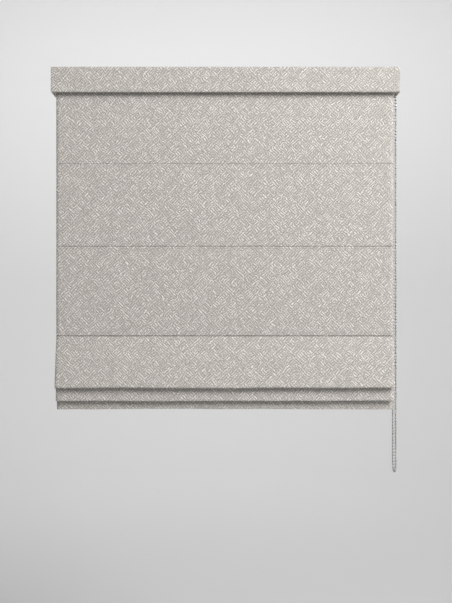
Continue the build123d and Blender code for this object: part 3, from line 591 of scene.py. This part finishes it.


# ---- Face cloth ----
# One width of greige jacquard, with its side edges turned back. It hangs flat to the third rod and is
# then gathered in two folds; stitching at each rod draws it in to a fine line, darkened by painted shade.
def round_bends(corners, long_step=0.009, short_step=0.0042):
    """Points down a strip of cloth: straight runs joined by bends. Each corner is y, z and its radius.
    A long run in the hanging part takes long steps."""
    places = [Vector((y, z)) for y, z, _ in corners]
    points = [places[0]]
    for before, here, after, (_, _, radius) in zip(places, places[1:], places[2:], corners[1:]):
        one, other = (before - here).normalized(), (after - here).normalized()
        half = one.angle(other) / 2
        reach = min(radius / tan(half), (before - here).length * 0.49, (after - here).length * 0.49)
        centre = here + (one + other).normalized() * (hypot(reach, reach * tan(half)))
        start, end = here + one * reach, here + other * reach
        steps = max(2, round((pi - 2 * half) / radians(15)))
        points.append(start)
        for i in range(1, steps):
            share = i / steps
            arm = (start - centre).lerp(end - centre, share)
            points.append(centre + arm.normalized() * (reach * tan(half)))
        points.append(end)
    points.append(places[-1])
    dense = [points[0]]
    for one, other in zip(points, points[1:]):
        gap = (other - one).length
        step = long_step if one.y > folds_start and gap > 0.1 else short_step
        count = max(1, int(gap / step))
        dense += [one.lerp(other, i / count) for i in range(1, count + 1)]
    return dense


folds_start = -0.5
curtain_corners = [
    (-0.01655, -0.0065, 0), (-0.01655, -0.521, 0.02), (-0.03465, -0.62065, 0.0025),
    (-0.02825, -0.62065, 0.0025), (-0.0228, -0.5728, 0.02), (-0.0178, -0.5508, 0.0008),
    (-0.0157, -0.5508, 0.0008), (-0.0203, -0.5728, 0.02), (-0.02265, -0.64665, 0.002),
    (-0.01765, -0.64665, 0.002), (-0.0178, -0.5748, 0.0008), (-0.0157, -0.5748, 0.0008),
    (-0.01055, -0.6326, 0.02), (-0.01055, -0.66325, 0.0012), (-0.00575, -0.66325, 0.0012),
    (-0.00575, -0.6366, 0)]
fabric_left, fabric_right = -0.328, 0.3255
rod_heights = [-0.187, -0.347, -0.521, -0.549, -0.573]
strip_foot = -0.033  # the strip on the headrail ends here and the hanging cloth begins

path = round_bends(curtain_corners)
# Extra rows where a row of stitches draws the cloth in, and at the places where it is divided
extra, seam_step = [strip_foot], 0.0004
for height in rod_heights[:2]:
    extra += [height + seam_step * i for i in range(-12, 13)]
for height in sorted(extra, reverse=True):
    at = next(i for i, point in enumerate(path) if point.y < height)
    if abs(path[at - 1].y - height) > 1e-5:
        path.insert(at, Vector((path[at - 1].x, height)))
distances = [0.0]
for one, other in zip(path, path[1:]):
    distances.append(distances[-1] + (other - one).length)
directions = []
for i in range(len(path)):
    one, other = path[max(i - 1, 0)], path[min(i + 1, len(path) - 1)]
    directions.append((other - one).normalized())


def lowest(start, end):
    """The row with the lowest point between two rows."""
    return min(range(start, end), key=lambda i: path[i].y)


def highest(start, end):
    """The row with the highest point between two rows."""
    return max(range(start, end), key=lambda i: path[i].y)


def next_row(start, meets):
    """The first row from start on whose point meets a test. A point's x is its depth, its y its height."""
    return next(i for i in range(start, len(path)) if meets(path[i]))


# Heights that tell the turns of the folded cloth apart, and the depth of the fourth rod's hairpin. The
# rows added to a start below keep each search clear of the turn before it.
seam_3, hairpin_4, hairpin_5, past_rods, in_fold = -0.5205, -0.5515, -0.5755, -0.58, -0.6
hairpin_4_depth = -0.0181
strip_end = next_row(0, lambda point: point.y <= strip_foot + 1e-6)
rod_3_at = next_row(0, lambda point: point.y <= seam_3)
rod_4_near = next_row(rod_3_at + 40, lambda point: point.y > hairpin_4 and point.x > hairpin_4_depth)
fold_1_foot = lowest(rod_3_at, rod_4_near)
rod_4_at = highest(fold_1_foot, next_row(rod_4_near, lambda point: point.y < past_rods))
below_rod_4 = next_row(rod_4_at, lambda point: point.y < in_fold)
rod_5_near = next_row(below_rod_4 + 10, lambda point: point.y > hairpin_5)
fold_2_foot = lowest(below_rod_4, rod_5_near)
rod_5_at = highest(fold_2_foot, next_row(rod_5_near + 4, lambda point: point.y < in_fold))
hem_foot = lowest(rod_5_at, len(path))
divisions = [0, strip_end, rod_3_at, fold_1_foot, rod_4_at, fold_2_foot, rod_5_at, len(path) - 1]
knots = [rod_3_at, fold_1_foot, rod_4_at, fold_2_foot, rod_5_at, hem_foot, len(path) - 1]


def leg_of(i):
    """Which leg of the folds row i is on, counted from the third rod, and how far along it."""
    for leg, (one, other) in enumerate(zip(knots, knots[1:])):
        if one <= i <= other:
            return leg, (distances[i] - distances[one]) / (distances[other] - distances[one])


def soften(i, x):
    """How far the cloth at row i strays from its drawn place: back, and up. A fold's foot waves most."""
    if i <= strip_end:
        return 0.0, 0.0
    if i < rod_3_at:
        sway = noise.noise(Vector((x * 3.0, path[i].y * 4.0, 1.7)))
        ease = min(1.0, (path[strip_end].y - path[i].y) / 0.05)
        nearest = min(abs(path[i].y - height) for height in rod_heights[:3])
        return -ease * min(1.0, nearest / 0.03) * 0.0006 * (1 + sway), 0.0
    leg, share = leg_of(i)
    wave = noise.noise(Vector((x * 7.0, 3.1 + 5 * (leg // 2), 0.5)))
    ripple = noise.noise(Vector((x * 26.0, 8.7 + 5 * (leg // 2), 0.2)))
    belly = (0.0009, 0.0003, 0.0003, 0.0003, 0.0, 0.0)[leg]
    foot = share if leg % 2 == 0 else 1 - share
    return -belly * sin(pi * share) * (1 + wave), foot * (wave * 0.0011 + ripple * 0.0005)


seam_rows = 14  # rows below the third rod that its stitches still move


def bell(away, width):
    """A smooth hump that is 1 at its middle."""
    return exp(-((away / width) ** 2))


def stitch_pull_and_painted_shade(i, x):
    """How far the stitches move the cloth at this point, behind or proud, and how dark the painted shade
    along their line is.
    """
    if i > rod_3_at + seam_rows:
        return 0.0, 0.0
    pull, shade = 0.0, 0.0
    for number, (height, firm) in enumerate(zip(rod_heights, (0.7, 1.0, 1.0))):
        line = height + 0.0005 * noise.noise(Vector((x * 38.0, number * 4.0, 0.3)))
        pinch = 0.75 + 0.5 * noise.noise(Vector((x * 90.0, number * 9.0, 2.3)))
        away = path[i].y - line
        # The cloth goes in at the stitches and stands proud just below them
        pull += firm * (0.00035 * bell(away, 0.0008) - 0.00045 * bell(away + 0.0024, 0.0014))
        # Painted shade: a dark line along each row of stitches, where its groove would lie in shade
        shade += firm * pinch * bell(away, 0.00085)
    return pull, min(shade, 1.0)


def hang(first, last, columns, offset, stitched):
    """Rows of cloth from one division to the next. Each column is x, its step behind and its place."""
    rows, flats, shades = [], [], []
    for i in range(first, last + 1):
        along = directions[i]
        behind = Vector((-along.y, along.x))
        row, flat, shade = [], [], []
        for x, step, place in columns:
            back, up = soften(i, x)
            pull, dark = stitch_pull_and_painted_shade(i, x)
            at = path[i] + behind * (offset + step)
            row.append((x, at.x + back + (pull if stitched else max(pull, 0.0)), at.y + up))
            flat.append((place, -distances[i]))
            # Only the face itself carries the painted shade, not its turned-back edges
            shade.append(dark if stitched and step == 0.0 else 0.0)
        rows.append(row)
        flats.append(flat)
        shades.append(shade)
    return rows, flats, shades


side_turning, fold_step, column_count = 0.011, 0.00075, 100
span = fabric_right - fabric_left
# The side edge from the turned-back end outward: how far inside the edge, the step behind, the cloth past it
side_edge = [(side_turning * (1 - k / 2.3), fold_step, side_turning * (1 - k / 2.3)) for k in range(3)]
side_edge += [(0.0001, fold_step * 0.8, 0.0004), (0.0, fold_step * 0.4, 0.0001), (0.0002, 0.0, -0.0002)]
columns = [(fabric_left + inside, step, -past) for inside, step, past in side_edge]
columns += [(fabric_left + span * k / column_count, 0.0, span * k / column_count)
            for k in range(1, column_count)]
columns += [(fabric_right - inside, step, span + past) for inside, step, past in reversed(side_edge)]

blind_jacquard = jacquard("blind_jacquard", seam_shade=True)
parts = ["on_headrail", "hanging", "fold_1_front", "fold_1_back", "fold_2_front", "fold_2_back", "hem_panel"]


def hang_sheet(kind, places, columns, behind, material, thickness):
    """The seven pieces of a hanging sheet, from the headrail down. The top two are fixed to the root and the
    hem panel to the fifth rod; the four fold pieces are left unattached.
    """
    pieces = []
    stitched = kind == "face"
    for part, first, last in zip(parts, places, places[1:]):
        name = f"{kind}_{part}"
        rows, flats, shades = hang(first, last, columns, behind, stitched)
        piece = add_piece(name, cloth_mesh(name, rows, flats, shades if stitched else None), material)
        give_thickness(piece, thickness)
        pieces.append(piece)
    strip, hanging, front_1, back_1, front_2, back_2, panel = pieces
    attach(strip, "root")
    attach(hanging, "root")
    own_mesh(hanging)
    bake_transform(front_1)
    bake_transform(back_1)
    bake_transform(front_2)
    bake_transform(back_2)
    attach(panel, "rod_5")
    return hanging


hanging_face = hang_sheet("face", divisions, columns, 0.0, blind_jacquard, cloth_thickness)
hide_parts("face_fabric")


# ---- Lining ----
# A plain cream cotton sateen behind the face, 12 mm in from each edge. It follows the same folds and
# its foot is caught in the hem.
def build_plain_weave():
    """Fine plain cloth: crossing yarns a fraction of a millimetre wide, with painted shade in the gaps
    between them, slubs and a soft cloudy tone.
    """
    tree, given, made = start_group(
        "plain_weave",
        [("Vector", "Vector", None), ("Yarn", "Color", (0.8, 0.77, 0.7, 1)),
         ("Gap", "Color", (0.6, 0.57, 0.5, 1)), ("Count", "Float", 2600.0), ("Slub", "Float", 160.0)],
        [("Color", "Color"), ("Height", "Float")])
    places = add_node(tree, "SeparateXYZ", {0: given["Vector"]}).outputs
    threads = []
    for axis in (0, 1):
        turn = times(tree, times(tree, places[axis], given["Count"]), 2.0)
        threads.append(math_node(tree, "ABSOLUTE", math_node(tree, "SINE", turn)))
    crossing = times(tree, threads[0], threads[1])
    stretched = add_node(tree, "Mapping", {"Vector": given["Vector"], "Scale": (0.12, 1.0, 1.0)})
    slub = noise_value(tree, stretched.outputs[0], times(tree, given["Slub"], 6.0))
    cloud = noise_value(tree, given["Vector"], 14.0)
    tone = plus(tree, times(tree, crossing, 0.45), times(tree, slub, 0.5))
    tone = plus(tree, tone, times(tree, cloud, 0.3))
    # Painted shade: the gaps between yarns take the darker Gap colour
    tree.links.new(mix_colours(tree, tone, given["Gap"], given["Yarn"]), made["Color"])
    tree.links.new(crossing, made["Height"])
    return tree


plain_weave = build_plain_weave()


def plain_cloth(name, yarn, gap, count=2600.0, uv="cut", rough=0.8, relief_depth=0.00008):
    """A fine woven or pile cloth in one colour."""
    material, tree, shader = start_material(name, {"Roughness": rough, "Sheen Weight": 0.3,
                                                   "Specular IOR Level": 0.3})
    place = (add_node(tree, "UVMap", uv_map=uv).outputs[0] if uv
             else add_node(tree, "TexCoord").outputs["Object"])
    if not uv:
        upright = add_node(tree, "VectorRotate", {"Vector": place, "Angle": pi / 2},
                           rotation_type="X_AXIS")
        place = upright.outputs[0]
    weave = add_node(tree, "Group", {"Vector": place, "Yarn": (*yarn, 1), "Gap": (*gap, 1),
                                     "Count": count}, node_tree=plain_weave)
    link_look(tree, shader, weave, 0.7, relief_depth)
    return material


lining_left, lining_right = -0.316, 0.3135
lining_offset, lining_thickness, lining_foot = 0.00065, 0.0004, -0.6381
lining_width, lining_steps = lining_right - lining_left, 70
lining_columns = [(lining_left + lining_width * k / lining_steps, 0.0, lining_width * k / lining_steps)
                  for k in range(lining_steps + 1)]
lining_end = next_row(rod_5_at, lambda point: point.y < lining_foot)
sateen = plain_cloth("cream_sateen", (0.8, 0.76, 0.68), (0.58, 0.54, 0.46))
hanging_lining = hang_sheet("lining", divisions[:-1] + [lining_end], lining_columns, lining_offset, sateen,
                            lining_thickness)
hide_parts("lining")

# ---- Rod pockets ----
# Strips of lining sewn across the back, each folded round its rod. Two rows of running stitches hold
# the flat edges of the upper three; the lower two are caught in the top of a fold.
rod_y, pocket_middle = -0.0134, 0.0024
stitch_thread = plain_cloth("sewing_thread", (0.86, 0.84, 0.78), (0.6, 0.57, 0.5), count=9000.0, uv=None)


def add_stitch(shape, place, along, out, length, thickness):
    """One visible stitch: a short thread that rises out of the cloth and goes back in."""
    side = along.cross(out).normalized()
    rings = []
    for share in (0, 0.2, 0.4, 0.6, 0.8, 1):
        swell = max(sin(pi * share), 0.18)
        centre = place + along * (length * (share - 0.5)) + out * (thickness * (swell - 0.5))
        rings.append(ring_of(shape, centre, out, side, thickness * (0.45 + 0.55 * swell), 6))
    join_rings(shape, rings)


lap_y, lap = -0.0154, 0.0047  # where the flat edges of a pocket lie, and how far they reach
seam_y, seam_reach, stitch_pitch, stitch_length, thread_radius = -0.01518, 0.0041, 0.0044, 0.0029, 0.00022
ring_thread_y, ring_thread_depth, ring_thread_rise, loop_steps = -0.01040, 0.00165, 0.00150, 14
pocket_left, pocket_width, pocket_steps = lining_left + 0.001, lining_width - 0.002, 60
ring_places = [-0.258, -0.00125, 0.2555]
for number, height in enumerate(rod_heights, 1):
    body = f"rod_{number}"
    if number <= 3:
        profile = [(lap_y, height + lap), (lap_y, height + 0.0036), (lap_y + 0.0001, height + 0.0029)]
        profile += [(rod_y + pocket_middle * cos(radians(a)), height + pocket_middle * sin(radians(a)))
                    for a in range(125, -126, -18)]
        profile += [(lap_y + 0.0001, height - 0.0029), (lap_y, height - 0.0036), (lap_y, height - lap)]
    else:
        profile = [(rod_y + (pocket_middle + grow) * cos(radians(a)),
                    height + (pocket_middle + grow) * sin(radians(a)))
                   for a, grow in [(205, 0.0010), (196, 0.0004)] + [(x, 0) for x in range(180, -109, -18)]
                   + [(-124, 0.0002), (-134, 0.0006)]]
    rows, flats, mark = [], [], 0.0
    for (y, z), (y0, z0) in zip(profile, [profile[0]] + profile[:-1]):
        mark += hypot(y - y0, z - z0)
        rows.append([(pocket_left + pocket_width * k / pocket_steps,
                      y + noise.noise(Vector((k * 0.6, number, mark * 300))) * 0.0001, z)
                     for k in range(pocket_steps + 1)])
        flats.append([(lining_width * k / pocket_steps, mark) for k in range(pocket_steps + 1)])
    name = f"rod_pocket_{number}"
    pocket = add_piece(name, cloth_mesh(name, rows, flats), sateen)
    give_thickness(pocket, lining_thickness * 0.9)
    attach(pocket, body)
    sewing = bmesh.new()
    if number <= 3:
        for k in range(int((lining_width - 0.006) / stitch_pitch)):
            for seam_z in (height + seam_reach, height - seam_reach):
                add_stitch(sewing, Vector((lining_left + 0.004 + stitch_pitch * k, seam_y, seam_z)), sideways,
                           Vector((0, 1, 0)), stitch_length, thread_radius)
    for x in ring_places:
        for shift in (-0.0007, 0.0, 0.0007):
            # Three threads hold each ring to the back of its pocket
            rings = []
            for k in range(loop_steps):
                out = Vector((0, cos(2 * pi * k / loop_steps), sin(2 * pi * k / loop_steps)))
                centre = Vector((x + shift, ring_thread_y + ring_thread_depth * out.y,
                                 height + ring_thread_rise * out.z))
                rings.append(ring_of(sewing, centre, out, sideways, thread_radius, 6))
            join_rings(sewing, rings, closed=True)
    stitches = finish_shape(f"rod_stitches_{number}", sewing, stitch_thread)
    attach(stitches, body)

# ---- Rods, rings and tips ----
# Pultruded glass-fibre rods keep each fold level. Clear rings sewn to their pockets guide the cords.
glass_rod = hard_material("pultruded_rod", (0.78, 0.78, 0.7), (0.6, 0.6, 0.5),
                          {"Coat Weight": 0.4, "Coat Roughness": 0.1}, scale=120, drawn=0.02,
                          smooth=0.18, rough=0.32)
clear_ring = hard_material("clear_ring", (0.86, 0.88, 0.88), (0.75, 0.77, 0.78),
                           {"Transmission Weight": 0.7, "IOR": 1.49}, scale=150, smooth=0.06, rough=0.18)
finish_nodes(glass_rod, "glass_fibre", *[f"batten_rod_{number}" for number in range(1, 6)])
finish_nodes(clear_ring, "clear_plastic", *[f"cord_rings_{number}" for number in range(1, 6)])

# ---- Hook and loop tape ----
# Hook tape is stuck along the front of the headrail; the loop tape is sewn to the top of the blind.
hook_pile = plain_cloth("hook_pile", (0.86, 0.86, 0.83), (0.66, 0.66, 0.62), count=1500.0, uv=None,
                        rough=0.7, relief_depth=0.0005)
loop_pile = plain_cloth("loop_pile", (0.88, 0.87, 0.84), (0.7, 0.69, 0.65), count=1100.0, uv=None,
                        rough=0.95, relief_depth=0.0006)
finish_nodes(hook_pile, "white_tape", "hook_tape")
finish_nodes(loop_pile, "white_tape", "loop_tape")


# ---- Lift cords ----
# Three braided polyester cords, 1.4 mm thick. Each winds on its spool, drops through the channel and
# the rings, and ends in a lock under the lowest rod.
def build_braid():
    """Braided cord: strands that cross over each other at a steep angle, with painted shade in the valleys
    between them.
    """
    tree, given, made = start_group(
        "cord_braid",
        [("Vector", "Vector", None), ("Strand", "Color", (0.85, 0.85, 0.82, 1)),
         ("Valley", "Color", (0.5, 0.5, 0.48, 1)), ("Pitch", "Float", 0.0016)],
        [("Color", "Color"), ("Height", "Float")])
    places = add_node(tree, "SeparateXYZ", {0: given["Vector"]}).outputs
    down = math_node(tree, "DIVIDE", places[1], given["Pitch"])
    strands = []
    for way in (4.0, -4.0):
        lay = plus(tree, times(tree, places[0], way), down)
        strands.append(math_node(tree, "ABSOLUTE", math_node(tree, "SINE", times(tree, lay, pi))))
    over = times(tree, strands[0], strands[1])
    # Painted shade: the valleys between strands take the darker Valley colour
    tree.links.new(mix_colours(tree, over, given["Valley"], given["Strand"]), made["Color"])
    tree.links.new(over, made["Height"])
    return tree


cord_braid = build_braid()
braided_cord, tree, shader = start_material("braided_cord", {"Roughness": 0.7, "Sheen Weight": 0.3})
braid = add_node(tree, "Group", {"Vector": add_node(tree, "UVMap", uv_map="cut").outputs[0]},
                 node_tree=cord_braid)
link_look(tree, shader, braid, 0.8, 0.00015)


def cord_pieces(name, lines, radius=0.00068, sides=10):
    """One mesh of several lengths of cord, each a line of points."""
    points, faces, places = [], [], []
    for line in lines:
        start, mark = len(points), 0.0
        for i, centre in enumerate(line):
            one, other = line[max(i - 1, 0)], line[min(i + 1, len(line) - 1)]
            along = (other - one).normalized()
            side = along.cross(Vector((0.31, 1, 0.17))).normalized()
            out = side.cross(along)
            mark += (centre - line[max(i - 1, 0)]).length
            for k in range(sides):
                a = 2 * pi * k / sides
                points.append(tuple(centre + (side * cos(a) + out * sin(a)) * radius))
                places.append((k / sides, mark))
        for i in range(len(line) - 1):
            for k in range(sides):
                one, other = start + i * sides + k, start + i * sides + (k + 1) % sides
                faces.append((one, other, other + sides, one + sides))
        faces.append(tuple(start + k for k in reversed(range(sides))))
        faces.append(tuple(start + (len(line) - 1) * sides + k for k in range(sides)))
    mesh = bpy.data.meshes.new(name)
    mesh.from_pydata(points, [], faces)
    layer = mesh.uv_layers.new(name="cut")
    for face in mesh.polygons:
        shares = [places[v][0] for v in face.vertices]
        for loop, vertex in zip(face.loop_indices, face.vertices):
            share, mark = places[vertex]
            if max(shares) - min(shares) > 0.5 and share == 0.0 and len(shares) == 4:
                share = 1.0
            layer.data[loop].uv = (share, mark)
    piece = add_piece(name, mesh, braided_cord)
    return piece


cord_y, winding_radius, turns, cord_thickness = -0.0063, 0.0063, 7, 0.0014
cord_foot, turn_steps = -0.579, 32
winding = [2 * pi * k / turn_steps for k in range(turn_steps * turns)]
wound = [[Vector((x + cord_thickness * a / (2 * pi), -winding_radius * cos(a),
                  wheel_height + winding_radius * sin(a))) for a in winding] for x in ring_places]


def straight(start, end, count):
    """The three cords straight down from one height to another."""
    return [[Vector((x, cord_y, start + (end - start) * k / count)) for k in range(count + 1)]
            for x in ring_places]


wound_cords = cord_pieces("cords_on_spools", wound)
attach(wound_cords, "drive")
top_cords = cord_pieces("cords_through_headrail", straight(wheel_height, strip_foot, 2))
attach(top_cords, "root")
hanging_cords = cord_pieces("cords_hanging", straight(strip_foot, rod_heights[2], 24))
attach(hanging_cords, "root")
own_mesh(hanging_cords)
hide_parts("lift_cord_1", "lift_cord_2", "lift_cord_3")
cords_4 = cord_pieces("cords_to_rod_4", straight(rod_heights[2], rod_heights[3], 6))
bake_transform(cords_4)
cords_5 = cord_pieces("cords_to_rod_5", straight(rod_heights[3], rod_heights[4], 6))
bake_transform(cords_5)
cord_tails = cord_pieces("cord_tails", straight(rod_heights[4], cord_foot, 2))
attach(cord_tails, "rod_5")

# ---- Bottom bar ----
# A flat mill-finish aluminium bar with rounded edges slides into the hem and keeps it straight.
mill_aluminium = hard_material("mill_aluminium", (0.72, 0.72, 0.74), (0.5, 0.5, 0.52),
                               {"Metallic": 1.0}, scale=60, drawn=0.03, smooth=0.25, rough=0.48)
finish_nodes(mill_aluminium, "bar_aluminium", "bottom_bar")

# ---- Room ----
# A plain pale floor, well below the blind, that rises all round to a plain wall, and soft light from
# above and from the right.
floor_height, wall_radius, cove_radius, wall_top = -1.75, 6.5, 1.5, 7.5
cove = [(0.02, floor_height), (2.0, floor_height), (wall_radius - cove_radius, floor_height)]
cove += [(wall_radius - cove_radius + cove_radius * sin(radians(a)),
          floor_height + cove_radius - cove_radius * cos(radians(a))) for a in range(10, 91, 10)]
cove.append((wall_radius, wall_top))
sides = 72
mesh = bpy.data.meshes.new("studio_floor")
mesh.from_pydata([(reach * cos(2 * pi * k / sides), reach * sin(2 * pi * k / sides), z)
                  for reach, z in cove for k in range(sides)], [],
                 [(i * sides + k, i * sides + (k + 1) % sides, (i + 1) * sides + (k + 1) % sides,
                   (i + 1) * sides + k) for i in range(len(cove) - 1) for k in range(sides)]
                 + [tuple(reversed(range(sides)))])
paint, tree, shader = start_material("pale_floor", {"Roughness": 0.9, "Specular IOR Level": 0.1})
speck = add_node(tree, "TexNoise", {"Scale": 3.0, "Detail": 2.0})
tree.links.new(mix_colours(tree, speck.outputs["Fac"], (0.84, 0.84, 0.84, 1), (0.88, 0.88, 0.88, 1)),
               shader.inputs["Base Color"])
add_piece("studio_floor", mesh, paint)


def add_lamp(name, place, target, width, height, power, colour=(1, 1, 1)):
    """A flat soft lamp that faces its target."""
    lamp = bpy.data.lights.new(name, "AREA")
    lamp.shape, lamp.size, lamp.size_y = "RECTANGLE", width, height
    lamp.energy, lamp.color = power, colour
    holder = bpy.data.objects.new(name, lamp)
    bpy.context.scene.collection.objects.link(holder)
    holder.location = place
    holder.rotation_euler = (Vector(target) - Vector(place)).to_track_quat("-Z", "Y").to_euler()


add_lamp("key_light", (1.65, -1.85, 1.3), (0, 0, -0.35), 1.6, 1.6, 121, (1.0, 0.99, 0.975))
add_lamp("side_light", (2.4, -1.6, -0.4), (0, 0, -0.35), 0.8, 1.2, 5, (1.0, 0.985, 0.96))
add_lamp("wall_light", (0, 3.6, 2.6), (0, 6.5, -0.6), 4.0, 1.0, 76)
world = bpy.data.worlds.new("studio_air")
world.use_nodes = True
world.node_tree.nodes["Background"].inputs["Color"].default_value = (0.93, 0.96, 1.0, 1)
world.node_tree.nodes["Background"].inputs["Strength"].default_value = 0.12
bpy.context.scene.world = world
bpy.context.scene.view_settings.view_transform = "Standard"
